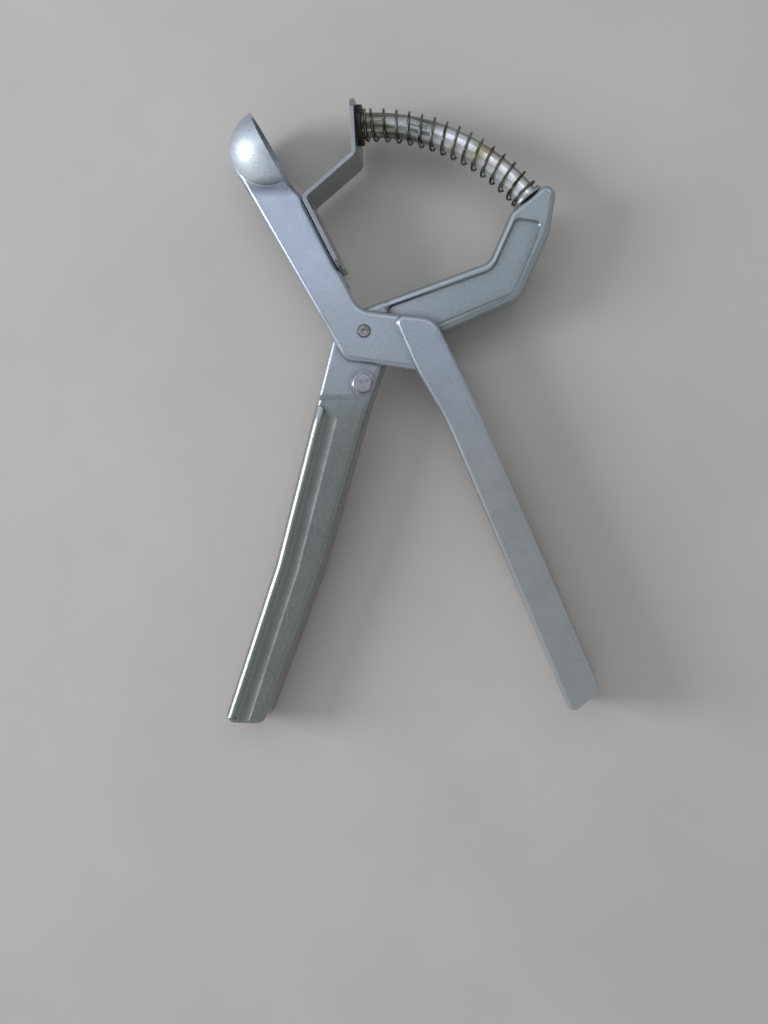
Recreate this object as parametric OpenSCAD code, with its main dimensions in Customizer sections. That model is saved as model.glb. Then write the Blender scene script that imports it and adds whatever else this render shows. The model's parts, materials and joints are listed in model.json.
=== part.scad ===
// Olive pitter, pliers type: two pressed sheet-metal levers crossed on one rivet.
// Millimetres, +Z up. The tool lies flat as it does in the photograph, +Y is the photograph's up.
// Origin: the middle of the underside of the whole tool. The sketches below are measured from
// the pivot, and place() moves them into the frame.

/* [Whole tool] */
// pivot, across from the middle of the tool
pivot_x = -11.8; // [-30:0.1:30]
// pivot, up from the middle of the tool
pivot_y = 24.4; // [0:0.1:60]
// length of each handle, from the pivot's height to its end
handle_len = 113.4; // [85:0.1:140]
// thickness of the sheet steel
sheet = 1.2; // [0.8:0.1:2]
// outer radius of every fold
fold_r = 1.6; // [1.4:0.1:2]

/* [Levels] */
// height of the plunger's axis above the floor
axis_z = 12.2; // [8:0.1:16]
// top of the lower lever's web
web_b = 16.5; // [14:0.1:20]
// gap between the two webs, filled by the spacer washer
web_gap = 0.5; // [0.3:0.1:2]
// how far the right handle's web stands above the hub
step_a = 1; // [0.5:0.1:2]
// how far the arm's panel and the left handle's panel are sunk
sink_b = 0.9; // [0.4:0.1:1.1]
// height of the flanges' lower edges, away from the handles' ends
foot_z = 7; // [4:0.1:10]
// length of each handle's end that stands on the floor
rest_len = 20; // [8:0.5:40]

/* [Plunger] */
// radius of the arc that the plunger, the bowl and the spring lie on
arc_r = 58.6; // [48:0.1:66]
// diameter of the plunger
rod_d = 6.8; // [5:0.1:8.2]
// clock angle of the plunger's tip
rod_tip_at = -3.3; // [-6:0.1:0]
// clock angle of the end flange that holds the plunger
flange_at = 51.7; // [48:0.1:55]
// diameter of the plunger's riveted tail
tail_d = 4; // [3:0.1:5]
// radial clearance of the plunger in the strap's hole
guide_clear = 0.4; // [0.2:0.05:1]

/* [Bowl] */
// outer diameter of the bowl
cup_d = 24.4; // [20:0.1:27]
// clock angle of the bowl's rim
cup_at = -27.6; // [-32:0.1:-24]
// diameter of the hole for the stone
stone_d = 9.5; // [7:0.1:12]

/* [Strap] */
// width of the strap
strap_w = 17; // [12:0.1:20]
// clock angle of the guide plate
guide_at = -2.6; // [-5:0.1:0]
// how far the guide plate reaches past the plunger's axis
guide_over = 6.1; // [5.6:0.1:10]
// from the plunger's axis in to the strap's upper bend
bend_in = 9.6; // [8:0.1:12]
// diameter of the strap's rivets
strap_rivet_d = 2.5; // [2:0.1:3.2]

/* [Spring and its washers] */
// wire of the spring
wire_d = 0.7; // [0.6:0.05:1]
// radial clearance of the spring on the plunger
coil_clear = 0.52; // [0.4:0.01:1]
// open curls
curls = 14; // [8:1:18]
// pitch of the closed curl at each end
end_pitch = 1.45; // [1.4:0.05:2]
// diameter of the front washer
front_d = 11.3; // [9:0.1:13]
// thickness of the front washer
front_t = 1.4; // [0.8:0.1:2]
// diameter of the rear washer
rear_d = 9.6; // [8.6:0.1:12]
// thickness of the rear washer
rear_t = 0.8; // [0.5:0.1:1.5]

/* [Pivot] */
// diameter of the pivot rivet
pivot_d = 3.2; // [2.6:0.1:5]
// radial running clearance on the pivot rivet
pivot_clear = 0.05; // [0.03:0.01:0.1]
// diameter of the spacer washer between the webs
spacer_d = 8; // [6:0.1:10]
// diameter of the rivet's formed head
rivet_head_d = 6; // [5:0.1:8]

/* [Stop screw] */
// radius of the stop screw's place from the pivot
stop_r = 14.5; // [14:0.1:16]
// clock angle of the stop screw
stop_at = 182.4; // [178:0.1:186]
// diameter of the screw's shank
screw_d = 3; // [2.5:0.1:4]
// width across the flats of the screw's head
head_af = 5.3; // [5:0.1:6]
// height of the screw's head
head_h = 2.1; // [1.6:0.1:3]
// diameter of the washer under the head
screw_washer_d = 7; // [6:0.1:7.6]
// thickness of that washer
screw_washer_t = 0.4; // [0.3:0.05:0.5]
// width across the flats of the nut
nut_af = 5.5; // [5:0.1:6]
// height of the nut
nut_h = 2.4; // [1.8:0.1:3]

/* [Hidden] */
$fn = 64;
web_a = web_b + web_gap + sheet;        // top of the upper lever's web
top_ha = web_a + step_a;                // top of the right handle
top_p = web_b - sink_b;                 // top of the sunk panels
under_a = web_a - sheet;                // underside of the upper lever's web
cup_r = cup_d / 2;
rod_r = rod_d / 2;
lap = 0.4;                              // overlap of a fold with the web beside it
inset = fold_r + lap / 2;               // from a fold's outside to the edge of the web beside it
end_y = -handle_len;
guide_d = rod_d + 2 * guide_clear;
coil_d = rod_d + 2 * coil_clear + wire_d;
guide_tip = arc_r + guide_over;
sketch_r = 58.6;                        // the arc's radius for which the outlines below are drawn
stretch = arc_r - sketch_r;
strap_z = axis_z - strap_w / 2;

// ---------------------------------------------------------------- vectors and rounded paths
// A path is a list of [x, y, corner radius], counter-clockwise round the sheet.
function xy(q) = [q[0], q[1]];
function dirn(a, b) = let(d = xy(b) - xy(a)) d / norm(d);
function lefts(u) = [-u[1], u[0]];
function bend(a, b, c) = let(u = dirn(a, b), v = dirn(b, c)) atan2(cross(u, v), u * v);
function cutlen(a, b, c) = b[2] * tan(abs(bend(a, b, c)) / 2);
function clock(r, a) = [r * sin(a), r * cos(a)];
function on_line(a, b, y) = [a[0] + (b[0] - a[0]) * (y - a[1]) / (b[1] - a[1]), y, 0];
function shifted(p, i, d, closed) =
    let(n = len(p), first = !closed && i == 0, last = !closed && i == n - 1,
        v = last ? dirn(p[n - 2], p[n - 1]) : dirn(p[i], p[(i + 1) % n]),
        u = first ? v : dirn(p[(i + n - 1) % n], p[i]),
        a = lefts(u), b = lefts(v), m = (a + b) / (1 + a * b),
        r = p[i][2] + (cross(u, v) > 0 ? -d : d))
    [p[i][0] + d * m[0], p[i][1] + d * m[1], p[i][2] == 0 ? 0 : max(r, 0)];
function shift(p, d, closed = false) = [for (i = [0:len(p) - 1]) shifted(p, i, d, closed)];

// the spots along a path where its section stands: [x, y, outward normal's x and y, fall]
// A path's fourth number lets its section's top fall, and a fifth, 1, puts its mitre across X.
function corner_spots(a, b, c) =
    let(u = dirn(a, b), v = dirn(b, c), t = bend(a, b, c), s = t > 0 ? 1 : -1, fall = b[3] ? b[3] : 0,
        k = cutlen(a, b, c), n = ceil(abs(t) / 9), f = atan2(-u[0], u[1]),
        m = xy(b) - k * u + s * b[2] * lefts(u), w = (lefts(u) + lefts(v)) / (1 + lefts(u) * lefts(v)))
    b[2] > 0 && abs(t) > 3
        ? [for (j = [0:n]) let(g = f + t * j / n, q = m + s * b[2] * [cos(g), sin(g)])
            [q[0], q[1], cos(g), sin(g), fall]]
        : b[4] == 1 ? [[b[0], b[1], 1 / v[1], 0, fall]] : [[b[0], b[1], -w[0], -w[1], fall]];
function spots(p, closed = false) =
    let(n = len(p))
    [for (i = [0:n - 1]) each
        !closed && i == 0 ? [[p[0][0], p[0][1], dirn(p[0], p[1])[1], -dirn(p[0], p[1])[0], 0]]
        : !closed && i == n - 1
            ? [[p[i][0], p[i][1], dirn(p[i - 1], p[i])[1], -dirn(p[i - 1], p[i])[0], 0]]
        : corner_spots(p[(i + n - 1) % n], p[i], p[(i + 1) % n])];

// bends a strip of sheet round a path: outer and inner are the two faces of its section, in
// pairs of [outward, up]
module ribbon(p, outer, inner, closed = false) {
    st = spots(p, closed);
    n = len(st);
    h = len(outer);
    sec = concat(outer, [for (j = [0:h - 1]) inner[h - 1 - j]]);
    m = 2 * h;
    sides = [for (i = [0:closed ? n - 1 : n - 2]) for (k = [0:m - 1])
        let(a = i * m + k, b = i * m + (k + 1) % m, o = (i + 1) % n * m, c = o + (k + 1) % m)
        each [[a, o + k, c], [a, c, b]]];
    caps = closed ? [] : [for (j = [0:h - 2]) let(e = (n - 1) * m)
        each [[j, j + 1, m - 2 - j, m - 1 - j],
              [e + m - 1 - j, e + m - 2 - j, e + j + 1, e + j]]];
    polyhedron(points = [for (q = st) for (c = sec)
                   [q[0] + q[2] * c[0], q[1] + q[3] * c[0], c[1] - (c[1] > 1 ? q[4] : 0)]],
               faces = concat(sides, caps), convexity = 8);
}

// the two faces of a web's edge folded down to a flange
function fold_arc(top, r) = [for (j = [0:5])
    [-fold_r + r * cos(90 - 18 * j), top - fold_r + r * sin(90 - 18 * j)]];
function fold_out(top, foot) = concat([[-fold_r - lap, top]], fold_arc(top, fold_r), [[0, foot]]);
function fold_in(top, foot) = concat([[-fold_r - lap, top - sheet]], fold_arc(top, fold_r - sheet),
                                     [[-sheet, foot]]);
module fold(p, top, foot = 0, closed = false) {
    ribbon(p, fold_out(top, foot), fold_in(top, foot), closed);
}

// a flat plate that ends a little inside a path
module plate(p, z0, z1, in) {
    translate([0, 0, z0]) linear_extrude(z1 - z0)
        polygon([for (q = spots(p, true)) [q[0] - in * q[2], q[1] - in * q[3]]]);
}
module web(p, top) { plate(p, top - sheet, top, inset); }

// everything below the flanges' lower edges: level, then down to the floor at the handle's end
module below(at, a, length) {
    translate([at[0], at[1], 0]) rotate([90, 0, 90 - a]) translate([0, 0, -90]) linear_extrude(180)
        polygon([[-100, -9], [-100, foot_z], [6, foot_z], [length - rest_len, 0],
                 [length - rest_len, -9]]);
}

module place() { translate([pivot_x, pivot_y, 0]) children(); }
module at_clock(a) { rotate([0, 0, -a]) children(); }
module arc_bar(from, to, r) {
    rotate([0, 0, 90 - to]) rotate_extrude(angle = to - from)
        translate([arc_r, axis_z]) circle(r);
}
module bore(x, y, d, z0, z1) { translate([x, y, z0]) cylinder(d = d, h = z1 - z0); }

// ---------------------------------------------------------------- outlines, from the pivot
// the arms' far points move out with the bowl and with the end flange
function by_cup(x, y, r) = concat([x, y] + stretch * clock(1, cup_at), r);
function by_flange(x, y, r) = concat([x, y] + stretch * clock(1, flange_at), r);
end_a = end_y + 5;                       // the right handle's end
handle_a = [[7.6, 5.0, 2.3], [14.3, -10.6, 30], [22.6, -24.9, 40],
            on_line([22.6, -24.9], [58, -108.5], end_a) + [0, 0, 2.3],
            [on_line([22.6, -24.9], [58, -108.5], end_a)[0] + 8.1, end_a + 7.6, 2.6],
            [31.1, -19.7, 60], [20.0, 3.4, 6.5]];
arm_l = [by_cup(-37.2, 46.86, 0), [-5.75, -8.04, 4], [14.4, -11.1, 2.2], [19.6, -19.6, 0]];
arm_r = [[10.2, 4.7, 0], [-1.5, 6.3, 6], by_cup(-17.4, 37.8, 4), by_cup(-24.5, 46.2, 0)];
hub_a = concat(arm_r, arm_l, [[21, -15, 0], [14.6, -2, 0]]);
arm_dir = dirn(arm_r[1], arm_r[2]);      // along the arm's right flange, from the hub

// the lower lever's outline; its handle's web lies lower than its hub's by sink_b
notch_y = -1.3;                          // the lower lever's shoulder
hub_end = -19.2;                         // lower end of the left handle's flat hub
ramp_len = 1.6;
left_b = [[-9.25, -1.0, 2.3], [-26.7, -66.1, 0, sink_b]];
right_b = [[-13.0, -66.1, 0, sink_b], [0.75, -21.3, 0, sink_b], [5.85, -7.3, 3.5]];
left_end = [-42.9, -113.4];              // where the left handle's two edges run to
right_end = [-31.2, -113.4];
end_bl = on_line(left_b[1], left_end, end_y);
end_br = on_line(right_b[0], right_end, end_y);
function falls(a, b, y, f) = concat(xy(on_line(a, b, y)), [0, f, 1]);
nut_turn = atan2(right_b[2][1] - right_b[1][1], right_b[2][0] - right_b[1][0]) - 90;
nut_z = web_b - sheet - nut_h;
nut_clear = 0.07;                        // from a flat of the nut to the flange beside it
end_lo = clock(arc_r - 6.4, flange_at);
end_hi = clock(arc_r + 10.6, flange_at);
arm_b = [by_flange(43.3, 8.65, 7), by_flange(51.8, 26.7, 14), concat(end_hi, 2.6),
         concat(end_lo, 2.5), by_flange(35.0, 18.9, 4), [-6.0, 4.8, 4.5]];
outline_b = concat(
    [falls(right_b[1], right_b[2], hub_end, sink_b),
     falls(right_b[1], right_b[2], hub_end + ramp_len, 0), right_b[2]],
    arm_b,
    [left_b[0], falls(left_b[0], left_b[1], hub_end + ramp_len, 0),
     falls(left_b[0], left_b[1], hub_end, sink_b), left_b[1],
     concat(xy(end_bl), [2.3, sink_b]), concat(xy(end_br), [2.8, sink_b]),
     right_b[0], right_b[1]]);
pocket_b = [[6.6, 7.15, 1.5], [5.4, -4.4, 1.5], by_flange(42.2, 9.8, 6.2),
            by_flange(48.9, 26.2, 6), by_flange(49.3, 29.6, 1.5), by_flange(42.3, 30.8, 1.8),
            by_flange(35.9, 16.9, 4.6)];

// ---------------------------------------------------------------- upper lever
// the upper lever has no flanges where the lower lever crosses it; the left flange's end is
// what stops the levers from opening further
module hub_window() {
    stop = notch_y + 0.15;
    translate([0, 0, -1]) linear_extrude(under_a + 1)
        polygon([[-14.2, stop], [-7.9, stop], [-5.96, 1.44], [-7.6, 12.5], [-1.5, 15.7], [28, 12],
                 [28, -2.2], [20.3, -5.7], [17.0, -10.4], [11.5, -13.4], [-14.2, -13.4]]);
}
module cup_lever() {
    color("#9aa2ad") place() {
        difference() {
            union() {
                web(hub_a, web_a);
                fold(arm_l, web_a);
                fold(arm_r, web_a);
                web(handle_a, top_ha);
                fold(handle_a, top_ha, 0, true);
            }
            hub_window();
            below([14, -11], 157, -end_a / sin(67) - 12.4);
            at_clock(cup_at) translate([0, arc_r, axis_z]) sphere(cup_r - sheet);
            at_clock(cup_at) translate([0, arc_r - cup_r + sheet, 0]) cube([30, 30, 40]);
            bore(0, 0, pivot_d, 0, 30);
            strap_rivet_places() translate([0, 0, -6]) cylinder(d = strap_rivet_d, h = 12);
        }
        difference() {
            at_clock(cup_at) translate([0, arc_r, axis_z]) difference() {
                sphere(cup_r);
                sphere(cup_r - sheet);
                translate([0, -30, -30]) cube(60);
            }
            at_clock(cup_at - 12) translate([-20, arc_r, axis_z]) rotate([0, 90, 0])
                cylinder(d = stone_d, h = 17);
        }
    }
}

// ---------------------------------------------------------------- strap with its rivets
// the strap's middle line: up the arm's flange, across to the plunger, and out along it
foot_end = 12.3 + stretch / 2;          // the foot's two ends, measured along the arm
foot_top = 34.5 + stretch;
foot_line = sheet / 2;
sink_h = 0.75 * sheet;                   // depth and width of the rivets' countersunk heads
sink_d = strap_rivet_d + 2 * sink_h;
function on_arm(s, off) = xy(arm_r[1]) + s * arm_dir - off * lefts(arm_dir);
foot_bend = on_arm(foot_top, foot_line);
foot_low = on_arm(foot_end, foot_line);
bend_hi = clock(arc_r - bend_in, guide_at);
tip_hi = clock(guide_tip, guide_at);
strap_line = [[foot_low[0], foot_low[1], 0], [foot_bend[0], foot_bend[1], 1.6],
              [bend_hi[0], bend_hi[1], 1.8], [tip_hi[0], tip_hi[1], 0]];
module strap_rivet_places() {
    for (s = [foot_end + 5.7, foot_top - 6.5]) {
        q = on_arm(s, 0);
        translate([q[0], q[1], axis_z]) rotate([0, 90, atan2(-arm_dir[0], arm_dir[1])]) children();
    }
}
// rounds the two corners of a plate's end; local +Y runs out to the end
module end_corners(r) {
    for (s = [0, 1]) translate([-5, 0, axis_z]) mirror([0, 0, s]) difference() {
        translate([0, -r, strap_w / 2 - r]) cube([10, r + 1, r + 1]);
        translate([-1, -r, strap_w / 2 - r]) rotate([0, 90, 0]) cylinder(r = r + 0.04, h = 12);
    }
}
module stripper_bracket() {
    color("#6f7274") place() difference() {
        ribbon(shift(strap_line, -sheet / 2), [[0, strap_z + strap_w], [0, strap_z]],
               [[-sheet, strap_z + strap_w], [-sheet, strap_z]]);
        at_clock(guide_at) translate([-5, arc_r, axis_z]) rotate([0, 90, 0])
            cylinder(d = guide_d, h = 10);
        at_clock(guide_at) translate([0, guide_tip, 0]) end_corners(4);
        translate([foot_low[0], foot_low[1], 0])
            rotate([0, 0, atan2(-arm_dir[1], -arm_dir[0]) - 90]) end_corners(3);
        strap_rivet_places() {
            translate([0, 0, -6]) cylinder(d = strap_rivet_d, h = 12);
            translate([0, 0, sheet - sink_h]) cylinder(d1 = strap_rivet_d, d2 = sink_d, h = sink_h);
        }
    }
}
// countersunk heads flush with the strap, and ends formed over inside the arm's channel
module bracket_rivets() {
    color("#8b8f92") place() strap_rivet_places() {
        translate([0, 0, -sheet - 0.4]) cylinder(d = strap_rivet_d, h = 2 * sheet + 0.4);
        translate([0, 0, sheet - sink_h]) cylinder(d1 = strap_rivet_d, d2 = sink_d, h = sink_h);
        translate([0, 0, -sheet - 0.8]) cylinder(d = 1.6 * strap_rivet_d, h = 0.8);
    }
}

// ---------------------------------------------------------------- lower lever
bead_r = 1.5;
bead_z = web_b + 0.4 - bead_r;           // the bead stands a little above the hub
bead_slope = 27;                         // slope from the bead down to the panel
bead_start = -21.6;
bead_end = end_y + 3.2;
bead_in = bead_r + bead_r * sin(bead_slope)
        + (bead_z + bead_r * cos(bead_slope) - top_p) / tan(bead_slope);
bead_core = top_p - bead_z - 0.02;       // radius of the bead's inner face, just under the fold's top
// the two faces of the left handle's beaded edge, whose wall stands inside the fold's
function bead_arc(r) = [for (j = [0:7]) let(g = (90 + bead_slope) * (1 - j / 7))
    [-bead_r + r * cos(g), bead_z + r * sin(g)]];
bead_out = concat([[-bead_in - 0.5, top_p], [-bead_in, top_p]], bead_arc(bead_r),
                  [[0, top_p - fold_r - 1]]);
bead_inn = concat([[-bead_in - 0.5, top_p - sheet], [-bead_in + 0.28, top_p - sheet]],
                  bead_arc(bead_core), [[-sheet + 0.06, top_p - fold_r - 1]]);
bead_l = shift([on_line(left_b[0], left_b[1], bead_start), left_b[1],
                on_line(left_b[1], left_end, bead_end)], 0.03);
panel_l = shift(bead_l, bead_in + 0.25);
module bead_cap(l, i) {
    q = shift(l, bead_r)[i];
    intersection() {
        translate([q[0], q[1], bead_z]) rotate([i == 0 ? 45 : -45, 0, 0]) sphere(bead_r - 0.05);
        translate([q[0] - 4, q[1] - 4, top_p - sheet]) cube([8, 8, 4]);
    }
}
// the hub's web runs down a short ramp to the handle's panel
module ramp() {
    y = hub_end;
    intersection() {
        translate([-30, 0, 0]) rotate([90, 0, 90]) linear_extrude(50)
            polygon([[y - 2, top_p], [y + 0.04, top_p], [y + ramp_len + 0.04, web_b], [y + 4, web_b],
                     [y + 4, web_b - sheet], [y + ramp_len - 0.04, web_b - sheet],
                     [y - 0.04, top_p - sheet], [y - 2, top_p - sheet]]);
        translate([0, 0, 5]) linear_extrude(20) polygon(
            [for (q = concat(shift([on_line(left_b[0], left_b[1], y + 9),
                                    on_line(left_b[0], left_b[1], y - 5)], inset),
                             shift([right_b[1], on_line(right_b[1], right_b[2], y + 9)], inset)))
                xy(q)]);
    }
}
module pocket() {
    plate(pocket_b, top_p, web_b + 1, 0.85);
    ribbon(pocket_b, [[0, web_b + 1], [0, web_b], [-0.6, top_p]],
           [[-1.1, web_b + 1], [-1.1, web_b], [-1.1, top_p]], true);
}
module plunger_lever() {
    color("#83888b") place() difference() {
        union() {
            difference() {
                union() {
                    fold(outline_b, web_b, 0, true);
                    web(concat([on_line(right_b[1], right_b[2], hub_end + ramp_len + 0.5), right_b[2]],
                               arm_b, [left_b[0],
                                       on_line(left_b[0], left_b[1], hub_end + ramp_len + 0.5)]),
                        web_b);
                    plate(pocket_b, top_p - sheet, web_b - sheet + 0.1, 0);
                }
                pocket();
            }
            ramp();
            panel();
            ribbon(bead_l, bead_out, bead_inn);
            bead_cap(bead_l, 0);
            bead_cap(bead_l, 2);
        }
        below([-6, -10], 196.4, (handle_len - 10) / cos(16.4));
        bore(0, 0, pivot_d + 2 * pivot_clear, 0, 30);
        stop_place() bore(0, 0, screw_d, 0, 30);
        stop_place() rotate([0, 0, nut_turn]) translate([1, -nut_af * 0.62, nut_z - 1])
            cube([nut_af / 2 + nut_clear - 1, nut_af * 1.24, nut_h + 1]);
        shoulder_notch();
        at_clock(flange_at) translate([-5, arc_r, axis_z]) rotate([0, 90, 0])
            cylinder(d = tail_d, h = 10);
    }
}
// the left handle's panel: beside the bead, and full width above and below it
module panel() {
    top = hub_end - 0.6;
    l0 = shift([on_line(left_b[0], left_b[1], top),
                on_line(left_b[0], left_b[1], bead_start - 0.5)], inset);
    l1 = shift([on_line(left_b[1], end_bl, bead_end + 0.8), end_bl], inset);
    r = shift([end_br, right_b[0], right_b[1], on_line(right_b[1], right_b[2], hub_end + 3)], inset);
    low = end_y + inset;
    translate([0, 0, top_p - sheet]) linear_extrude(sheet)
        polygon([for (q = [on_line(l0[0], l0[1], top), l0[1], panel_l[0], panel_l[1], panel_l[2],
                           l1[0], on_line(l1[0], l1[1], low), on_line(r[0], r[1], low),
                           r[1], r[2], on_line(r[2], r[3], top)]) xy(q)]);
}
// clearance concentric with the pivot for the upper lever's left flange
module shoulder_notch() {
    difference() {
        translate([-14, notch_y, -1]) cube([12, 14, 30]);
        translate([0, 0, -2]) cylinder(r = 8.2, h = 40);
    }
}
module stop_place() { at_clock(stop_at) translate([0, stop_r, 0]) rotate([0, 0, stop_at]) children(); }

// ---------------------------------------------------------------- plunger, spring, washers
module plunger_rod() {
    color("#a9a69c") place() {
        difference() {
            arc_bar(rod_tip_at, flange_at, rod_r);
            at_clock(rod_tip_at) translate([-1, arc_r, axis_z]) rotate([0, 90, 0])
                cylinder(d = rod_d - 2.4, h = 1.8);
        }
        at_clock(flange_at) translate([-0.5, arc_r, axis_z]) rotate([0, 90, 0])
            cylinder(d = tail_d, h = sheet + 0.5);
        at_clock(flange_at) translate([sheet, arc_r, axis_z]) rotate([0, 90, 0])
            cylinder(d = tail_d + 1.6, h = 0.9);
    }
}
module ring_at(a, x, t, d, hole) {
    at_clock(a) translate([x, arc_r, axis_z]) rotate([0, 90, 0]) difference() {
        cylinder(d = d, h = t);
        translate([0, 0, -1]) cylinder(d = hole, h = t + 2);
    }
}
module front_washer() {
    color("#5a564e") place() ring_at(guide_at, sheet / 2, front_t, front_d, rod_d + 0.6);
}
module rear_washer() {
    color("#8e9194") place() ring_at(flange_at, -rear_t, rear_t, rear_d, rod_d + 0.2);
}

// the spring: one wire in an unbroken helix bent round the pivot, a closed curl at each end
s_lo = guide_at + asin((sheet / 2 + front_t + wire_d / 2 + 0.05) / (arc_r - coil_d / 2));
s_hi = flange_at - asin((rear_t + wire_d / 2 + 0.05) / (arc_r - coil_d / 2));
end_deg = end_pitch / arc_r * 180 / PI;
open_deg = (s_hi - s_lo - 2 * end_deg) / curls;
turns = curls + 2;
rings = 8 * turns;
function s_at(t) = t < 1 ? s_lo + t * end_deg
    : t > turns - 1 ? s_hi - (turns - t) * end_deg : s_lo + end_deg + (t - 1) * open_deg;
function coil_pt(t, rr) = let(a = s_at(t), r = arc_r + rr * cos(360 * t))
    [r * sin(a), r * cos(a), axis_z + rr * sin(360 * t)];
function ring_pts(i) =
    let(t = i / 8, c = coil_pt(t, coil_d / 2), n = (coil_pt(t, coil_d / 2 + 1) - c),
        g = coil_pt(t + 0.02, coil_d / 2) - coil_pt(t - 0.02, coil_d / 2),
        b = cross(g / norm(g), n), m = cross(b, g / norm(g)))
    [for (k = [0:5]) c + wire_d / 2 * (cos(60 * k) * m / norm(m) + sin(60 * k) * b / norm(b))];
spring_pts = [for (i = [0:rings]) each ring_pts(i)];
spring_faces = concat(
    [[5, 4, 3, 2, 1, 0]], [[for (k = [0:5]) 6 * rings + k]],
    [for (i = [0:rings - 1]) for (k = [0:5]) let(a = 6 * i + k, b = 6 * i + (k + 1) % 6)
        each [[a, b, b + 6], [a, b + 6, a + 6]]]);
// least distance between points a whole curl apart, less the wire's own width
spring_gap = min([for (i = [0:rings - 8]) for (k = [0:5]) for (j = [7, 8]) for (m = [0:5])
    if (i + j <= rings) norm(spring_pts[6 * i + k] - spring_pts[6 * (i + j) + m])]);
echo("spring least gap to itself, mm", spring_gap);
module return_spring() {
    color("#6b675f") place() polyhedron(points = spring_pts, faces = spring_faces);
}

// ---------------------------------------------------------------- pivot
gap = 0.05;                              // running gap above and below each washer
back_washer_d = 7;
back_washer_t = 0.45;
under_b = web_b - sheet;                 // underside of the lower lever's hub
rivet_head_h = 1.2;
rivet_top = web_a + 0.25;
module pivot_rivet() {
    color("#777a7c") place() {
        difference() {
            bore(0, 0, pivot_d, under_b - back_washer_t - 2 * gap - 0.6, rivet_top);
            bore(0, 0, 1.2, web_a - 0.1, rivet_top + 1);
        }
        translate([0, 0, under_b - back_washer_t - 2 * gap - rivet_head_h])
            cylinder(d = rivet_head_d, h = rivet_head_h);
    }
}
module pivot_washer() {
    color("#8e9194") place() difference() {
        bore(0, 0, spacer_d, web_b + gap, under_a - gap);
        bore(0, 0, pivot_d + 0.1, 0, 30);
    }
}
module back_washer() {
    color("#8e9194") place() difference() {
        bore(0, 0, back_washer_d, under_b - gap - back_washer_t, under_b - gap);
        bore(0, 0, pivot_d + 0.1, 0, 30);
    }
}

// ---------------------------------------------------------------- stop screw
screw_z = web_b + screw_washer_t;
head_turn = -15.5;                       // a flat of the head meets the upper lever's edge
module hex(af, z0, h, turn) {
    translate([0, 0, z0]) rotate([0, 0, 30 + turn]) cylinder(d = af / cos(30), h = h, $fn = 6);
}
module stop_screw() {
    color("#9c9aa3") place() stop_place() {
        intersection() {
            hex(head_af, screw_z, head_h, head_turn);
            translate([0, 0, screw_z + head_h - 0.5])
                rotate_extrude() polygon([[0, -9], [4, -9], [4, -0.6], [2.4, 0.5], [0, 0.5]]);
        }
        bore(0, 0, screw_d, nut_z - 0.8, screw_z + 0.1);
    }
}
module stop_washer() {
    color("#8e9194") place() stop_place() difference() {
        bore(0, 0, screw_washer_d, web_b, web_b + screw_washer_t);
        bore(0, 0, screw_d, 0, 30);
    }
}
module stop_nut() {
    color("#8e9194") place() stop_place() difference() {
        hex(nut_af, nut_z, nut_h, nut_turn);
        bore(0, 0, screw_d, 0, 30);
    }
}

cup_lever();
stripper_bracket();
bracket_rivets();
plunger_lever();
plunger_rod();
return_spring();
front_washer();
rear_washer();
pivot_rivet();
pivot_washer();
back_washer();
stop_screw();
stop_washer();
stop_nut();
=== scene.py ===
# %% [markdown]
# # A pliers-type olive pitter
#
# Two pressed sheet-steel levers cross on one rivet. The upper lever ends in a bowl for the olive,
# and the lower lever carries a round plunger, bent to an arc about the rivet, with a coil spring
# on it. A bent strap on the upper lever guides the plunger into the bowl. Every lever is one
# piece of 1.2 mm steel with its edges folded down, sprayed with a silver-grey paint that has
# worn and pitted a little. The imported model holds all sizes; this lesson gives it its surfaces,
# presses the left handle's bead and groove and winds the spring.

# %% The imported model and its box
import json
import math

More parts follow.
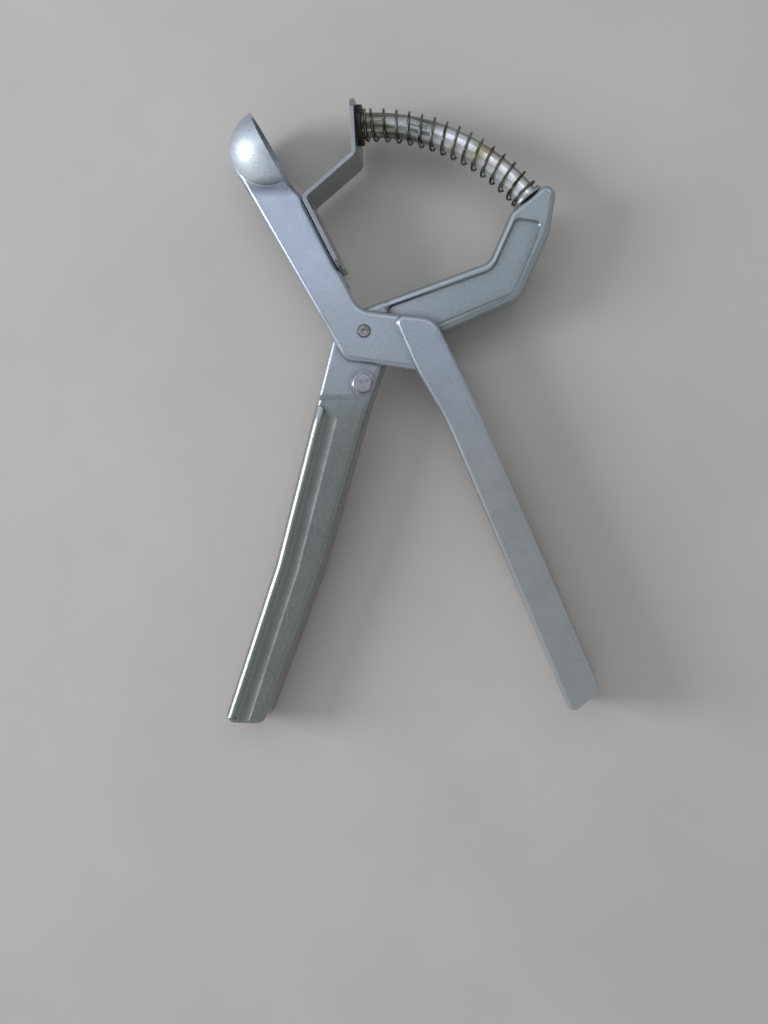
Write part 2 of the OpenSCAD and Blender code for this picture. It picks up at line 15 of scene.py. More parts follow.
import bpy
from mathutils import Matrix, Vector
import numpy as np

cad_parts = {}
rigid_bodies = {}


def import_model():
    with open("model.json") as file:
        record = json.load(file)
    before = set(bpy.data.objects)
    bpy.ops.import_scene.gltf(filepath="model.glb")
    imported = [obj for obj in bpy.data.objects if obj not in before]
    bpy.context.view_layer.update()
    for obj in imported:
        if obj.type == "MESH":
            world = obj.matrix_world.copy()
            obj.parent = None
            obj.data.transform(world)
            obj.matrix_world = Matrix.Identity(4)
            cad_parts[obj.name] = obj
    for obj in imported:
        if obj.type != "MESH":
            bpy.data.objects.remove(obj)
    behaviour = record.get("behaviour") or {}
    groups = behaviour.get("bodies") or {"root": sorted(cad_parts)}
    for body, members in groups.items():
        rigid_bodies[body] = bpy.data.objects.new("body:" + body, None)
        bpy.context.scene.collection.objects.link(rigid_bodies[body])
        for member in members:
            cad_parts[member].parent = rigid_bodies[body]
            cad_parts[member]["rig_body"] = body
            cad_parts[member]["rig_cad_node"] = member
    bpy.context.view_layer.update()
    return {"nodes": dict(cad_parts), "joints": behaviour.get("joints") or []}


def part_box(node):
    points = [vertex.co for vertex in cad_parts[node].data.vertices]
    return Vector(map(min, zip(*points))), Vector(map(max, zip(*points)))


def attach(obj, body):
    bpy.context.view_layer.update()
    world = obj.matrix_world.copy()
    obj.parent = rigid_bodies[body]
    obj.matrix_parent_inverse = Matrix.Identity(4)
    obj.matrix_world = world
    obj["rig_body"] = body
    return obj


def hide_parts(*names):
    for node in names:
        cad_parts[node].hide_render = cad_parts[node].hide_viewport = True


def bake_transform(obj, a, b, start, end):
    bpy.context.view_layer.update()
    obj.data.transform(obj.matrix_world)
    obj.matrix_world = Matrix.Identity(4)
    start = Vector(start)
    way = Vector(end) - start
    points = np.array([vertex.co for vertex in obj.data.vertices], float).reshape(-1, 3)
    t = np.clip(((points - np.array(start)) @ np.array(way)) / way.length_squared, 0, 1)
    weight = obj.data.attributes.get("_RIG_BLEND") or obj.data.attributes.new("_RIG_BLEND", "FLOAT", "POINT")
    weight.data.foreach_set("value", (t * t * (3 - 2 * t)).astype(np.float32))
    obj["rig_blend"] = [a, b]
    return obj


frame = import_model()
MM = 0.001
nodes = frame["nodes"]
hinge = frame["joints"][0]
pivot = Vector(hinge["pos_m"])
print("CAD pieces:", len(nodes), "pivot at", [round(v / MM, 1) for v in pivot], "mm")

# %% [markdown]
# ## Helpers for materials
#
# Paint shops and photographs give colours as sRGB hex values, and the shader wants linear ones,
# so one function turns one into the other. A second one adds any node, sets its values and joins
# its inputs, which keeps each material short enough to read from top to bottom. A hex value that
# it is given goes through the first function.

# %% Colour and node helpers
def srgb(hex_code):
    parts = [int(hex_code[i:i + 2], 16) / 255 for i in (1, 3, 5)]
    return [*(c / 12.92 if c <= 0.04045 else ((c + 0.055) / 1.055) ** 2.4 for c in parts), 1]


def add(tree, kind, joins=None, out=0, **settings):
    """Adds a node and returns one of its outputs.

    joins gives inputs, by name or number, a value, a hex colour or another node's output.
    """
    node = tree.nodes.new("ShaderNode" + kind)
    for key, value in settings.items():
        setattr(node, key, value)
    for key, value in (joins or {}).items():
        if isinstance(value, bpy.types.NodeSocket):
            tree.links.new(value, node.inputs[key])
        else:
            node.inputs[key].default_value = srgb(value) if isinstance(value, str) else value
    return node.outputs[out]


def new_material(name):
    """Makes an empty material. Returns it, its tree, and its output's surface socket."""
    material = bpy.data.materials.new(name)
    material.use_nodes = True
    tree = material.node_tree
    tree.nodes.clear()
    end = tree.nodes.new("ShaderNodeOutputMaterial")
    return material, tree, end.inputs["Surface"]


print("helpers ready")

# %% [markdown]
# ## Patterns, places and stains
#
# Wear, painted shade and painted highlights are a few layers over a clean colour. Each layer needs a mask,
# which says where it lies, and a tone. The masks come from noise, from the distance to a place on the tool,
# or from the way down a handle. All of them read Object coordinates, so they stay on the piece when it
# moves.

# %% Masks and layers
def mottle(tree, size_mm, detail=3.0, low=0.35, high=0.65):
    """Soft cloudy noise from 0 to 1, whose clouds are size_mm across."""
    noise = add(tree, "TexNoise", {"Vector": add(tree, "TexCoord", out="Object"),
                                   "Scale": 1 / (size_mm * MM), "Detail": detail,
                                   "Roughness": 0.55})
    return add(tree, "MapRange", {0: noise, 1: low, 2: high})


def near(tree, point_mm, full_mm, gone_mm, axes=(1, 1, 1)):
    """1 within full_mm of a point given from the pivot, and 0 past gone_mm."""
    from_point = add(tree, "VectorMath", {0: add(tree, "TexCoord", out="Object"),
                                          1: pivot + Vector(point_mm) * MM}, operation="SUBTRACT")
    weighed = add(tree, "VectorMath", {0: from_point, 1: axes}, operation="MULTIPLY")
    far = add(tree, "VectorMath", {0: weighed}, out="Value", operation="LENGTH")
    return add(tree, "MapRange", {0: far, 1: full_mm * MM, 2: gone_mm * MM, 3: 1.0, 4: 0.0})


def down_handle(tree, start_mm, end_mm):
    """0 above start_mm below the pivot, rising to 1 at end_mm below it."""
    y = add(tree, "SeparateXYZ", {0: add(tree, "TexCoord", out="Object")}, out=1)
    return add(tree, "MapRange", {0: y, 1: pivot.y - start_mm * MM, 2: pivot.y - end_mm * MM})


def layer(tree, colour, mask, strength, tone):
    """Lays a tone over a colour, as strongly as the mask says times strength."""
    share = add(tree, "Math", {0: mask, 1: strength}, operation="MULTIPLY")
    return add(tree, "Mix", {0: share, 6: colour, 7: tone}, out=2, data_type="RGBA")


print("masks ready")

# %% [markdown]
# ## Worn edges
#
# Paint is thinnest on a sheared edge, and handling polishes it there first. The Bevel node looks
# a set distance around a point and rounds the normal. Where that normal differs from the real
# one an edge is near, so their difference is a mask for wear.

# %% Edge mask
def edge_mask(tree, reach_mm):
    """1 on an edge, and 0 from about reach_mm away."""
    rounded = add(tree, "Bevel", {"Radius": reach_mm * MM}, samples=6)
    flat = add(tree, "NewGeometry", out="Normal")
    same = add(tree, "VectorMath", {0: rounded, 1: flat}, out="Value", operation="DOT_PRODUCT")
    return add(tree, "MapRange", {0: same, 1: 0.985, 2: 0.8})


print("edge mask ready")

# %% [markdown]
# ## Silver-grey paint on pressed steel
#
# The levers' finish is an aluminium-flake stoving paint, sprayed on pressed mild steel. To the eye it is
# halfway between a metal and a plastic: the flakes lie flat and reflect like a rough mirror, so faces turned
# away go dark, and the resin over them adds a soft gloss. Close up there are fine sparkles, an orange peel,
# small dark pits, hairline scratches, painted shade in the creases and, at the bowl's rim, rust. The tones
# differ from arm to pivot to grip, partly from hand wear and partly as painted light: the arms' blue tint is
# a painted sky reflection, and the lower grip's darker tone is painted shade. The guide strap has the same
# paint in a darker tone, which is painted shade. The flakes are 0.03 mm in reality and are drawn 0.25 mm
# wide here so that they show.
#
# The bowl is drawn deep from the same sheet, which stretches the steel and leaves its outside rougher, and
# rubbing has made it a little lighter. A painted highlight lies on it, and painted shade lies in the crease
# at its foot. Places on the tool are given from the pivot.

# %% Real sizes and places of the paint's marks, in mm
FLAKE_MM = 0.25  # aluminium flakes
SCRATCH_MM = 0.45  # hairline scratches, 0.05 mm in reality and drawn wide enough to show
PIT_GAP_MM = 2.6  # from pit to pit
PEEL_MM = 0.9  # the sprayed paint's orange peel
CREASE_SHADE_MM = 2.6  # how far the painted shade reaches out of a crease
RIVET_RING = (1.72, 2.15)  # a darker ring round the rivet's head, from the pivot
IN_PLAN = (1, 1, 0)  # distances seen from above
BOWL_R = 12.2  # the bowl's outside
BOWL_MIDDLE = (-27.15, 51.93, -3.7)
BOWL_PAINTED_HIGHLIGHT = (-29.5, 46.5, 5)
BOWL_FOOT = (-27.0, 40.6, 0)
BOWL_RIM = (-20.2, 42.4, 0)
POCKET_END = (6.2, 6.2, 0)
print("bowl", BOWL_R, "mm in radius, flakes drawn", FLAKE_MM, "mm wide")


# %% Marks that all the painted pieces share
def region_tone_and_painted_light(tree, arm, hub, grip, hub_reach, grip_from_to):
    """One tone on the arm, one round the pivot and one on the grip, softly joined, partly wear and partly
    painted light.
    """
    round_pivot = near(tree, (0, 0, 0), *hub_reach, IN_PLAN)
    tone = add(tree, "Mix", {0: round_pivot, 6: arm, 7: hub}, out=2, data_type="RGBA")
    grip_share = down_handle(tree, *grip_from_to)
    return add(tree, "Mix", {0: grip_share, 6: tone, 7: grip}, out=2, data_type="RGBA")


def hairlines(tree):
    """Fine scratches that run mostly along the tool."""
    along = add(tree, "Mapping", {"Vector": add(tree, "TexCoord", out="Object"),
                                  "Rotation": (0, 0, 0.35), "Scale": (1, 0.05, 1)})
    lines = add(tree, "TexNoise", {"Vector": along, "Scale": 1 / (SCRATCH_MM * MM), "Detail": 4.0})
    return add(tree, "MapRange", {0: lines, 1: 0.66, 2: 0.74})


def round_pits(tree):
    """Small round spots a few millimetres apart, in some areas only."""
    cells = add(tree, "TexVoronoi", {"Vector": add(tree, "TexCoord", out="Object"),
                                     "Scale": 1 / (PIT_GAP_MM * MM)}, out="Distance")
    spots = add(tree, "MapRange", {0: cells, 1: 0.1, 2: 0.06})
    return add(tree, "Math", {0: spots, 1: mottle(tree, 9, 2, low=0.52, high=0.6)},
               operation="MULTIPLY")


def marked_paint(tree, colour, pits):
    """Clouds, sparkle, scratches, pits, painted shade in the creases and bare edges over a clean tone."""
    colour = layer(tree, colour, mottle(tree, 22, 4), 0.12, "#5f6468")
    flakes = add(tree, "TexVoronoi", {"Vector": add(tree, "TexCoord", out="Object"),
                                      "Scale": 1 / (FLAKE_MM * MM)}, out="Color")
    colour = layer(tree, colour, add(tree, "SeparateColor", {0: flakes}, out=0), 0.12, "#e6eaf0")
    colour = layer(tree, colour, hairlines(tree), 0.3, "#c9ced6")
    colour = layer(tree, colour, pits, 0.6, "#4a4d50")
    # Painted shade: ambient occlusion darkens the paint in creases, recesses and corners between parts.
    open_air = add(tree, "AmbientOcclusion", {"Distance": CREASE_SHADE_MM * MM}, out="AO", samples=6)
    closed = add(tree, "MapRange", {0: open_air, 1: 0.97, 2: 0.45})
    colour = layer(tree, colour, closed, 0.7, "#3a3d3d")
    worn = add(tree, "Math", {0: edge_mask(tree, 0.35), 1: mottle(tree, 3, 3, low=0.4, high=0.6)},
               operation="MULTIPLY")
    return layer(tree, colour, worn, 0.55, "#c3c6c9")


def rust(tree, colour, spot, reach):
    """Broken-up rust round a spot, which thins out towards reach mm."""
    grains = mottle(tree, 0.9, 4, low=0.42, high=0.58)
    eaten = add(tree, "Math", {0: near(tree, spot, 0.25 * reach, reach), 1: grains},
                operation="MULTIPLY")
    return layer(tree, colour, eaten, 0.85, "#57423a")


print("paint marks ready")


# %% The drawn bowl, and the dirt round the rivet
def drawn_bowl(tree, colour, gloss):
    """The bowl's lighter, rougher and gritty outside, its painted highlight, and painted shade in the crease
    at its foot.
    """
    drawn = near(tree, BOWL_MIDDLE, BOWL_R + 0.05, BOWL_R + 0.4)
    rougher = add(tree, "Math", {0: drawn, 1: 0.24}, operation="MULTIPLY")
    gloss = add(tree, "Math", {0: gloss, 1: rougher}, operation="ADD")
    # Painted highlight: a bright patch on the bowl's outside, where the window's light would be mirrored.
    painted_highlight = add(tree, "Math", {0: near(tree, BOWL_PAINTED_HIGHLIGHT, 3, 12), 1: 0.9}, operation="MULTIPLY")
    lighter_and_highlight = add(tree, "Math", {0: 0.08, 1: painted_highlight}, operation="ADD")
    colour = layer(tree, colour, drawn, lighter_and_highlight, "#dfe7ec")
    # Painted shade: the crease where the bowl meets the arm is darkened.
    crease = near(tree, BOWL_FOOT, 0.3, 2.8, (0.2, 1, 0))
    colour = layer(tree, colour, crease, 0.7, "#464a54")
    grit = add(tree, "Math", {0: mottle(tree, 0.45, 2, low=0.56, high=0.7), 1: drawn},
               operation="MULTIPLY")
    return layer(tree, colour, grit, 0.45, "#5f666d"), gloss


def rivet_dark_ring(tree, colour):
    """A darker ring on the sheet round the rivet's head."""
    return layer(tree, colour, near(tree, (0, 0, 0), *RIVET_RING, IN_PLAN), 0.85, "#2f3133")


print("bowl and rivet marks ready")


# %% The paint
def silver_paint(name, arm, hub, grip, hub_reach, grip_from_to, rust_spots=(), bowl=False):
    material, tree, surface = new_material(name)
    pits = round_pits(tree)
    colour = marked_paint(tree, region_tone_and_painted_light(tree, arm, hub, grip, hub_reach, grip_from_to), pits)
    for spot, reach in rust_spots:
        colour = rust(tree, colour, spot, reach)
    gloss = add(tree, "MapRange", {0: mottle(tree, 6, 5), 3: 0.25, 4: 0.34})
    if bowl:
        colour, gloss = drawn_bowl(tree, rivet_dark_ring(tree, colour), gloss)
    peel = add(tree, "TexNoise", {"Vector": add(tree, "TexCoord", out="Object"),
                                  "Scale": 1 / (PEEL_MM * MM), "Detail": 1.0})
    deep = add(tree, "Math", {0: pits, 1: 2.0}, operation="MULTIPLY")
    height = add(tree, "Math", {0: peel, 1: deep}, operation="SUBTRACT")
    soft_edge = add(tree, "Bevel", {"Radius": 0.12 * MM}, samples=6)
    bump = add(tree, "Bump", {"Strength": 0.18, "Distance": 0.05 * MM, "Height": height,
                              "Normal": soft_edge})
    shader = add(tree, "BsdfPrincipled", {"Base Color": colour, "Metallic": 0.72,
                                          "Roughness": gloss, "Coat Weight": 0.4,
                                          "Coat Roughness": 0.14, "Normal": bump})
    tree.links.new(shader, surface)
    return material


# Partly painted light: the arms' blue tint is a painted sky reflection and the lower grip's darker tone is
# painted shade; hand wear gives the rest.
upper_paint = silver_paint("silver_paint_upper", "#a8b2c0", "#a9b0ba", "#b2b6b6", (10, 24),
                           (6, 40), [(BOWL_RIM, 5.5)], bowl=True)
lower_paint = silver_paint("silver_paint_lower", "#9aa3a6", "#a8aeb7", "#828783", (12, 22),
                           (17, 24), [(POCKET_END, 2.6)])
# Painted shade: the strap wears the levers' paint in a darker tone.
strap_paint_shaded = silver_paint("silver_paint_strap_shaded", "#85888a", "#85888a", "#85888a", (10, 20),
                           (0, 35))
print("paints:", upper_paint.name, lower_paint.name, strap_paint_shaded.name)

# %% [markdown]
# ## Bright plating on the plunger
#
# The plunger is a drawn mild-steel bar with a thin nickel plating. It is a true metal to the eye: bright,
# with a fine grain along its length, and yellowish where brine has tarnished it. Its outer side, next to the
# coils, is painted darker as painted shade, and the front part, which goes into the olives, is painted
# darker in long streaks, also as painted shade. The grain has to follow the arc, so its pattern reads the
# angle about the pivot instead of a straight axis. Real drawing lines are 0.05 mm apart and are drawn 0.35
# mm apart here so that they show.

# %% Patterns that follow the arc
ARC_R = 58.6
GRAIN_MM = 0.35


def about_pivot(tree):
    """Distance from the pivot in the plan, angle clockwise from +Y in radians, and height."""
    from_pivot = add(tree, "VectorMath", {0: add(tree, "TexCoord", out="Object"), 1: pivot},
                     operation="SUBTRACT")
    x, y, z = (add(tree, "SeparateXYZ", {0: from_pivot}, out=i) for i in range(3))
    angle = add(tree, "Math", {0: x, 1: y}, operation="ARCTAN2")
    level = add(tree, "VectorMath", {0: from_pivot, 1: IN_PLAN}, operation="MULTIPLY")
    reach = add(tree, "VectorMath", {0: level}, out="Value", operation="LENGTH")
    return reach, angle, z


def arc_noise(tree, across_mm, along_mm, detail):
    """Noise on the arc, whose grains are across_mm wide and along_mm long."""
    reach, angle, z = about_pivot(tree)
    place = add(tree, "CombineXYZ", {
        0: add(tree, "Math", {0: reach, 1: across_mm * MM}, operation="DIVIDE"),
        1: add(tree, "Math", {0: angle, 1: ARC_R / along_mm}, operation="MULTIPLY"),
        2: add(tree, "Math", {0: z, 1: across_mm * MM}, operation="DIVIDE")})
    return add(tree, "TexNoise", {"Vector": place, "Scale": 1.0, "Detail": detail})


print("arc patterns ready")


# %% The plating
def bright_plating(name):
    material, tree, surface = new_material(name)
    reach, angle, _ = about_pivot(tree)
    grain = arc_noise(tree, GRAIN_MM, 9, 3.0)
    rings = arc_noise(tree, 30, 1.1, 2.0)
    tarnish = mottle(tree, 7, 5, low=0.5, high=0.72)
    colour = layer(tree, "#e6e9ec", tarnish, 1.0, "#a89a66")
    colour = layer(tree, colour, mottle(tree, 2.2, 5, low=0.6, high=0.78), 0.5, "#5d574a")
    # Painted shade: the front part, which goes into the olives, is darkened in long streaks.
    front = add(tree, "MapRange", {0: angle, 1: math.radians(24), 2: math.radians(17)})
    streaks = add(tree, "MapRange", {0: arc_noise(tree, 1.1, 14, 3.0), 1: 0.42, 2: 0.56,
                                     3: 0.4, 4: 0.85})
    colour = layer(tree, colour, front, streaks, "#45483f")
    # Painted shade: the plunger's outer side is darkened.
    outer_side_shade = add(tree, "MapRange", {0: reach, 1: (ARC_R + 1.7) * MM, 2: (ARC_R + 2.8) * MM})
    colour = layer(tree, colour, outer_side_shade, 0.8, "#56544d")
    gloss = 0.0
    for part, share in ((grain, 0.3), (rings, 0.25), (tarnish, 0.12)):
        gloss = add(tree, "Math", {0: part, 1: share, 2: gloss}, operation="MULTIPLY_ADD")
    bump = add(tree, "Bump", {"Strength": 0.25, "Distance": 0.02 * MM, "Height": grain,
                              "Normal": add(tree, "Bevel", {"Radius": 0.2 * MM}, samples=6)})
    shader = add(tree, "BsdfPrincipled", {"Base Color": colour, "Metallic": 0.9,
                                          "Roughness": gloss, "Normal": bump})
    tree.links.new(shader, surface)
    return material


plating = bright_plating("nickel_plating")
print("plating:", plating.name)

# %% [markdown]
# ## Drawn wire, washers and fasteners
#
# The spring is bare drawn steel wire gone brown in places, the front washer is blackened steel,
# and the screw, nut and other washers are zinc plated. They share one recipe of a metal with two
# tones, a patch size and a roughness, because only those differ to the eye. Their crystals are
# finer than 0.1 mm and are drawn as 0.5 mm specks here so that they show.

# %% Small metals
SPECK_MM = 0.5


def small_metal(name, clean, stained, patch_mm, rough, stain_low=0.5, stain_high=0.7):
    material, tree, surface = new_material(name)
    stains = mottle(tree, patch_mm, 5, low=stain_low, high=stain_high)
    fine = mottle(tree, SPECK_MM, 3)
    colour = layer(tree, clean, stains, 1.0, stained)
    colour = layer(tree, colour, fine, 0.25, stained)
    dulled = add(tree, "Math", {0: stains, 1: 0.6}, operation="MULTIPLY")
    dulled = add(tree, "Math", {0: fine, 1: 0.4, 2: dulled}, operation="MULTIPLY_ADD")
    gloss = add(tree, "MapRange", {0: dulled, 3: rough, 4: rough + 0.22})
    bump = add(tree, "Bump", {"Strength": 0.2, "Distance": 0.02 * MM, "Height": fine,
                              "Normal": add(tree, "Bevel", {"Radius": 0.15 * MM}, samples=6)})
    shader = add(tree, "BsdfPrincipled", {"Base Color": colour, "Metallic": 1.0,
                                          "Roughness": gloss, "Normal": bump})
    tree.links.new(shader, surface)
    return material


wire_steel = small_metal("drawn_spring_wire", "#86847b", "#3b342a", 2.5, 0.26, 0.42, 0.62)
black_steel = small_metal("blackened_washer_steel", "#4a4741", "#27231e", 3, 0.42)
zinc = small_metal("zinc_plating", "#b4b6ba", "#83817b", 3, 0.3)
screw_zinc = small_metal("zinc_plated_screw", "#b6b7bf", "#85858d", 2, 0.28)
rivet_steel = small_metal("bare_rivet_steel", "#a2a3a3", "#5d5a54", 1.5, 0.32)
for metal in (wire_steel, black_steel, zinc, screw_zinc, rivet_steel):
    print("small metal:", metal.name)

# %% [markdown]
# ## Finished copies of the pressed and turned pieces
#
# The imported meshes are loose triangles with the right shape. A copy is welded, its flat facets
# are dissolved and its folds are shaded smooth. On turned, punched and sheared pieces a fine
# bevel rounds the edges that a lathe or a press leaves, from 0.05 mm on thin washers to 0.25 mm
# on the plunger. The levers get none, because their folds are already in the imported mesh.
# Weighted normals keep the flat faces flat beside the folds.

# %% Weld, round and shade
WELD_MM, FLAT_DEG, SHARP_DEG = 0.002, 0.4, 40


def only(piece):
    bpy.ops.object.select_all(action="DESELECT")
    piece.select_set(True)
    bpy.context.view_layer.objects.active = piece


def edit_all(operation, **settings):
    """Runs one edit-mode operator on the whole of the active piece."""
    bpy.ops.object.mode_set(mode="EDIT")
    bpy.ops.mesh.select_all(action="SELECT")
    operation(**settings)
    bpy.ops.object.mode_set(mode="OBJECT")


def modified(piece, name, kind, **settings):
    """Adds a modifier and applies it."""
    modifier = piece.modifiers.new(name, kind)
    for key, value in settings.items():
        setattr(modifier, key, value)
    bpy.ops.object.modifier_apply(modifier=name)


def finished(node, name, material, body, edge_mm, smooth_deg=32, cutter=None):
    """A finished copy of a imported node, in its material and slot, that rides on its body."""
    source = nodes[node]
    piece = source.copy()
    piece.data = source.data.copy()
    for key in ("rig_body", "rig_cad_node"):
        if key in piece:
            del piece[key]
    piece.name = piece.data.name = name
    piece.parent = None
    bpy.context.scene.collection.objects.link(piece)
    only(piece)
    bpy.ops.mesh.customdata_custom_splitnormals_clear()
    edit_all(bpy.ops.mesh.remove_doubles, threshold=WELD_MM * MM)
    if cutter:
        modified(piece, "pressed_bead", "BOOLEAN", operation="DIFFERENCE", solver="EXACT",
                 object=cutter)
        bpy.data.objects.remove(cutter)
    edit_all(bpy.ops.mesh.dissolve_limited, angle_limit=math.radians(FLAT_DEG))
    if edge_mm:
        modified(piece, "rounded_edges", "BEVEL", width=edge_mm * MM, segments=2,
                 limit_method="ANGLE", angle_limit=math.radians(SHARP_DEG))
    bpy.ops.object.shade_smooth_by_angle(angle=math.radians(smooth_deg))
    modified(piece, "flat_faces_stay_flat", "WEIGHTED_NORMAL", keep_sharp=True)
    piece.data.materials.clear()
    piece.data.materials.append(material)
    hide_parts(node)
    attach(piece, body)
    print(name, len(piece.data.vertices), "points", len(piece.data.polygons), "faces")


# %% [markdown]
# ## The bead and its groove
#
# The press that draws the left handle's round bead also draws a shallow groove beside it, and
# the panel starts at the groove's far side, with hardly a step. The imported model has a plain
# round bead, so its outer skin is dressed here with a long cutter, which takes away what stands
# over the pressed section. The cutter is the section as one edge loop, extruded from station to
# station down the handle, and a Boolean modifier uses it. At the top the bead sinks and the
# groove runs out over a few millimetres, and at the bottom both run through the handle's end.

# %% The pressed section
# Points in mm: across from the handle's left face, and height over the floor.
BEAD_R, BEAD_TOP = 2.4, 16.75
GROOVE = [(3.0, 16.12), (3.5, 15.66), (4.0, 15.36), (4.6, 15.2), (5.4, 15.18), (6.2, 15.28),
          (6.9, 15.45), (7.35, 15.62)]
OUTSIDE, CLEAR_OF_STEEL = -0.6, 17.8


def round_bead(steps=9, sweep_deg=100):
    """The bead from its left side to a little past its crest."""
    angles = [math.radians(180 - sweep_deg * i / steps) for i in range(steps + 1)]
    return [(BEAD_R * (1 + math.cos(a)), BEAD_TOP - BEAD_R * (1 - math.sin(a))) for a in angles]


SECTION = [(OUTSIDE, CLEAR_OF_STEEL), (OUTSIDE, BEAD_TOP - BEAD_R), *round_bead(), *GROOVE,
           (GROOVE[-1][0], CLEAR_OF_STEEL)]
print("section:", len(SECTION), "points")

# %% Stations down the left face
# The face's corners from the pivot, in mm. Each station is y, the bead's lift and the groove's.
LEFT_FACE = [Vector((-9.25, -1.0)), Vector((-26.7, -66.1)), Vector((-42.9, -113.4))]
PAST_END = -116.0
STATIONS = ((-19.4, -0.6, 1.0), (-21.0, -0.35, 0.45), (-23.0, -0.15, 0), (-25.5, 0, 0),
            (LEFT_FACE[1].y, 0, 0), (PAST_END, 0, 0))


def inward(start, end):
    """The sideways direction into the handle from a stretch of its left face."""
    run = (end - start).normalized()
    return Vector((-run.y, run.x))


def cutter_station(y, bead_lift, groove_lift):
    """The section's points where it crosses the left face's line, y mm from the pivot."""
    top, bend, end = LEFT_FACE
    start, stop = (top, bend) if y >= bend.y else (bend, end)
    side = inward(start, stop)
    if y == bend.y:
        side = (side + inward(bend, end)).normalized()
    foot = start + (stop - start) * ((y - start.y) / (stop.y - start.y))
    points = []
    for across, z in SECTION:
        lift = bead_lift if across <= GROOVE[0][0] else groove_lift
        points.append(Vector((pivot.x + (foot.x + across * side.x) * MM,
                              pivot.y + (foot.y + across * side.y) * MM, (z + lift) * MM)))
    return points


print("stations:", len(STATIONS))

# %% The cutter, extruded from station to station
stations = [cutter_station(*station) for station in STATIONS]
cutter_mesh = bpy.data.meshes.new("bead_cutter")
cutter_mesh.from_pydata(stations[0], [], [list(range(len(SECTION)))])
bead_cutter = bpy.data.objects.new("bead_cutter", cutter_mesh)
bpy.context.scene.collection.objects.link(bead_cutter)
only(bead_cutter)
for station in stations[1:]:
    bpy.ops.object.mode_set(mode="EDIT")
    bpy.ops.mesh.extrude_region_move()
    bpy.ops.object.mode_set(mode="OBJECT")
    fresh = [v for v in bead_cutter.data.vertices if v.select]
    for vertex, place in zip(fresh, station):
        vertex.co = place
edit_all(bpy.ops.mesh.normals_make_consistent, inside=False)
print("bead cutter:", len(bead_cutter.data.vertices), "points")

# %% Every rigid piece
UPPER, LOWER = "cup_side", "plunger_side"
FOLD_DEG = 22
finished("cup_lever", "upper_lever", upper_paint, UPPER, 0, FOLD_DEG)
finished("stripper_bracket", "guide_strap", strap_paint_shaded, UPPER, 0.12)
finished("bracket_rivets", "strap_rivets", rivet_steel, UPPER, 0.08)
finished("plunger_lever", "lower_lever", lower_paint, LOWER, 0, FOLD_DEG,
         bead_cutter)
finished("plunger_rod", "plunger", plating, LOWER, 0.25)
finished("front_washer", "dark_washer", black_steel, UPPER, 0.12)
finished("rear_washer", "spring_washer", zinc, LOWER, 0.08)
finished("pivot_rivet", "pivot_pin", rivet_steel, UPPER, 0.12)
finished("pivot_washer", "spacer_washer", zinc, UPPER, 0.05)
finished("back_washer", "rivet_washer", zinc, UPPER, 0.05)
finished("stop_screw", "hex_screw", screw_zinc, LOWER, 0.08)
finished("stop_washer", "screw_washer", zinc, LOWER, 0.06)
finished("stop_nut", "hex_nut", zinc, LOWER, 0.08)

# %% [markdown]
# ## The return spring
#
# The spring is one wire wound on a bar and then bent with the plunger. A helix along an arc needs
# no modelling by hand: a formula gives its centre line, a curve gives that line a round section,
# and the curve becomes a mesh. One end curl lies closed against each washer.

# %% The spring's room on the arc
# Angles are clockwise from +Y about the pivot. Each stack lies between a seat and the wire's
# middle: sheet, washer, half the wire and a little air, in mm.
COIL_D, WIRE_D = 8.54, 0.7
CURLS, END_CURLS, END_PITCH = 14, 2, 1.45
STRAP_DEG, FLANGE_DEG = -2.6, 51.7
STRAP_HALF, FRONT_WASHER, REAR_WASHER, AIR = 0.6, 1.4, 0.8, 0.05
inner_r = ARC_R - COIL_D / 2
front_stack = STRAP_HALF + FRONT_WASHER + WIRE_D / 2 + AIR
rear_stack = REAR_WASHER + WIRE_D / 2 + AIR
first = STRAP_DEG + math.degrees(math.asin(front_stack / inner_r))
last = FLANGE_DEG - math.degrees(math.asin(rear_stack / inner_r))
end_deg = math.degrees(END_PITCH / ARC_R)
open_deg = (last - first - END_CURLS * end_deg) / CURLS
turns = CURLS + END_CURLS
bar_height = sum(corner.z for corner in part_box("plunger_rod")) / 2
print("spring from", round(first, 2), "to", round(last, 2), "degrees")


# %% Its centre line
def clock_angle(t):
    """Degrees clockwise from +Y at turn t, with a closed curl at each end."""
    if t < 1:
        return first + t * end_deg
    if t > turns - 1:
        return last - (turns - t) * end_deg
    return first + end_deg + (t - 1) * open_deg


def coil_point(t):
    clock = math.radians(clock_angle(t))
    r = (ARC_R + COIL_D / 2 * math.cos(2 * math.pi * t)) * MM
    z = bar_height + COIL_D / 2 * math.sin(2 * math.pi * t) * MM
    return Vector((pivot.x + r * math.sin(clock), pivot.y + r * math.cos(clock), z))


print("spring's middle line stands", round(bar_height / MM, 2), "mm over the floor")

# %% The wire
STEPS = 40
line = bpy.data.curves.new("return_coil", "CURVE")
line.dimensions = "3D"
line.bevel_depth = WIRE_D / 2 * MM
line.bevel_resolution = 3
line.use_fill_caps = True
path = line.splines.new("POLY")
path.points.add(turns * STEPS)
for i, point in enumerate(path.points):
    point.co = (*coil_point(i / STEPS), 1)
coil = bpy.data.objects.new("return_coil", line)
bpy.context.scene.collection.objects.link(coil)
only(coil)
bpy.ops.object.convert(target="MESH")
coil = bpy.context.object
bpy.ops.object.shade_smooth_by_angle(angle=math.radians(50))
coil.data.materials.clear()
coil.data.materials.append(wire_steel)
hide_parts("return_spring")
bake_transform(coil, UPPER, LOWER, start=coil_point(0.5), end=coil_point(turns - 0.5))
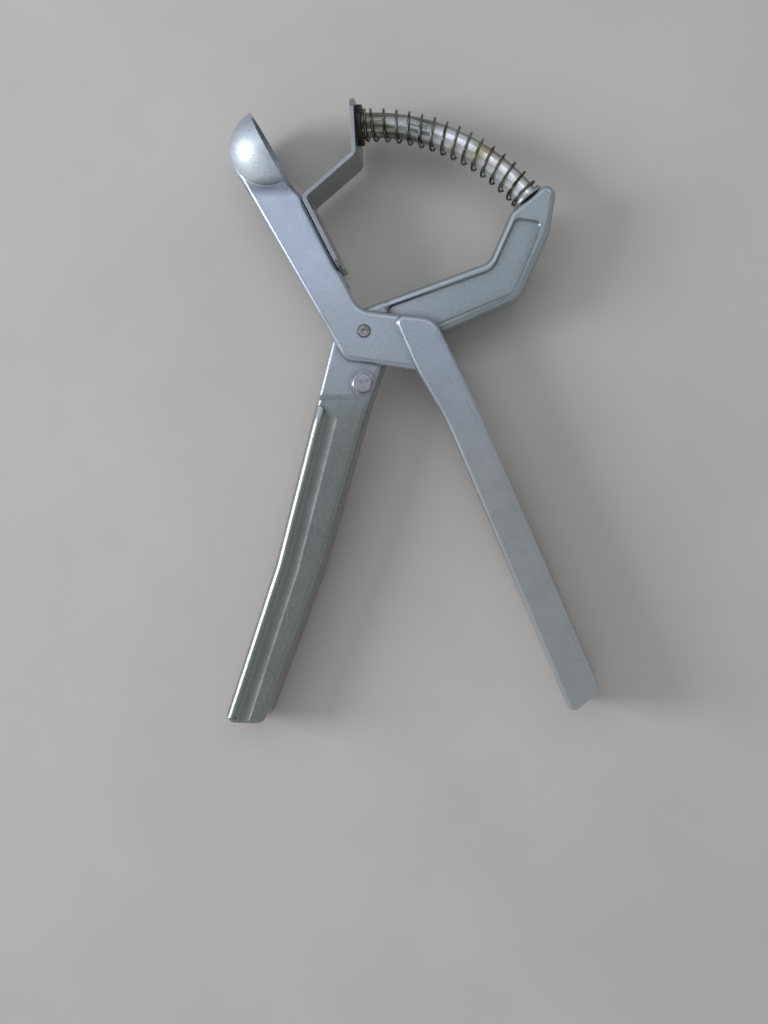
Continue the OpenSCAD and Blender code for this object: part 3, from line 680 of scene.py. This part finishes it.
# A spring closes evenly, so each point's share of the swing is its share of the open curls.
shares = coil.data.attributes["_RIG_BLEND"].data
for vertex, share in zip(coil.data.vertices, shares):
    clock = math.degrees(math.atan2(vertex.co.x - pivot.x, vertex.co.y - pivot.y))
    share.value = min(max((clock - first - end_deg) / (open_deg * CURLS), 0), 1)
print("spring:", turns, "turns,", len(coil.data.polygons), "faces")

# %% [markdown]
# ## Floor, light and camera
#
# The tool lies on a plain pale floor. A soft lamp stands low on the left, like the window that
# draws the long highlights on the folds. Two large soft panels hang overhead, towards the top of
# the picture, where the arms and the plunger mirror them. A pale sky, a little darker straight
# above, fills the rest. The camera looks almost straight down from a third of a metre, a little
# to the right of the tool's middle.

# %% Floor
bpy.ops.object.select_all(action="DESELECT")
bpy.ops.mesh.primitive_plane_add(size=4, location=(0, 0, 0))
floor = bpy.context.object
floor.name = "floor"
floor_material, tree, surface = new_material("pale_floor")
floor_tone = layer(tree, "#c6c2bb", mottle(tree, 60, 3), 1.0, "#c1bdb6")
tree.links.new(add(tree, "BsdfPrincipled", {"Base Color": floor_tone, "Roughness": 0.75}), surface)
floor.data.materials.append(floor_material)
print("floor ready")

# %% Sky
world = bpy.data.worlds.new("pale_sky")
bpy.context.scene.world = world
world.use_nodes = True
sky = world.node_tree
upward = add(sky, "SeparateXYZ", {0: add(sky, "TexCoord", out="Generated")}, out=2)
overhead = add(sky, "MapRange", {0: upward, 1: 0.45, 2: 0.95}, interpolation_type="SMOOTHSTEP")
background = sky.nodes["Background"]
sky.links.new(layer(sky, "#e0e3e7", overhead, 1.0, "#bec1c4"), background.inputs["Color"])
background.inputs["Strength"].default_value = 0.62
print("sky ready")


# %% Lamps
def soft_lamp(name, place, size, watts, tint):
    """A rectangular lamp that faces the tool."""
    data = bpy.data.lights.new(name, "AREA")
    data.shape = "RECTANGLE"
    data.size, data.size_y = size
    data.energy = watts
    data.color = srgb(tint)[:3]
    lamp = bpy.data.objects.new(name, data)
    bpy.context.scene.collection.objects.link(lamp)
    lamp.location = place
    lamp.rotation_mode = "QUATERNION"
    lamp.rotation_quaternion = (-Vector(place)).to_track_quat("-Z", "Z")


soft_lamp("window", (-1.1, 0.08, 0.55), (0.6, 0.4), 9, "#f6f8ff")
soft_lamp("sky_panel", (-0.36, 0.5, 1.0), (0.75, 0.75), 2.0, "#e3ebfb")
soft_lamp("far_panel", (0.3, 0.6, 1.0), (0.5, 0.5), 0.9, "#eef2fb")
print("lamps ready")

# %% Camera
CAMERA_FROM_PIVOT = Vector((40.3, -33.7)) * MM
CAMERA_HEIGHT = 330 * MM
LOOK_AT = Vector((-8.5, -27.6, 0)) * MM
TILT = 0.0062
LONG_SIDE, FOCAL_PIXELS = 1024, 1109
lens = bpy.data.cameras.new("camera")
lens.sensor_width = 36
lens.lens = FOCAL_PIXELS / LONG_SIDE * lens.sensor_width
lens.clip_start, lens.clip_end = 0.01, 20
camera = bpy.data.objects.new("camera", lens)
bpy.context.scene.collection.objects.link(camera)
camera.location = (pivot.x + CAMERA_FROM_PIVOT.x, pivot.y + CAMERA_FROM_PIVOT.y, CAMERA_HEIGHT)
ahead = (LOOK_AT - camera.location).normalized()
right = ahead.cross(Vector((TILT, 1, 0))).normalized()
up = right.cross(ahead)
camera.rotation_mode = "QUATERNION"
camera.rotation_quaternion = Matrix((right, up, -ahead)).transposed().to_quaternion()
bpy.context.scene.camera = camera
bpy.context.scene.view_settings.view_transform = "Standard"
print("camera at", [round(v / MM, 1) for v in camera.location], "mm")
